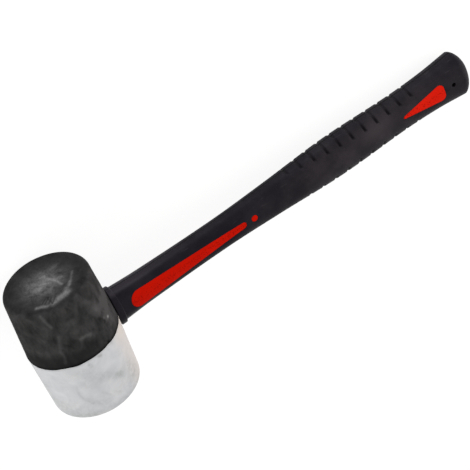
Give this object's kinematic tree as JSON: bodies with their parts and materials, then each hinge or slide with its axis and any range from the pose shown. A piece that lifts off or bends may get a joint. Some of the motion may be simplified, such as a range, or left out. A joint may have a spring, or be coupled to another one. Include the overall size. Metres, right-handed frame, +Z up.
{
  "type": "rubber mallet",
  "caption": "Rubber mallet with a half-black, half-white barrel head on a fibreglass-core handle with a grooved grip, for tapping bricks and slabs into place.",
  "frame": {"origin": "on the table, under the middle of the box of the mallet lying on its side", "axes": "+X from the head along the handle to its tail, +Y to the black striking face, +Z up from the table"},
  "size_m": [0.3854, 0.1072, 0.0699],
  "materials": {
    "black_rubber": "matte",
    "white_rubber": "matte",
    "handle_jacket": "matte",
    "red_inlay": "satin",
    "fibreglass": "satin"
  },
  "bodies": {
    "root": {"head_black_half": "black_rubber", "head_white_half": "white_rubber", "handle_body": "handle_jacket", "fibreglass_core": "fibreglass", "strip_inlay_upper": "red_inlay", "strip_inlay_lower": "red_inlay", "dot_inlay_upper": "red_inlay", "dot_inlay_lower": "red_inlay", "tail_inlay_upper": "red_inlay", "tail_inlay_lower": "red_inlay"}
  },
  "joints": []
}
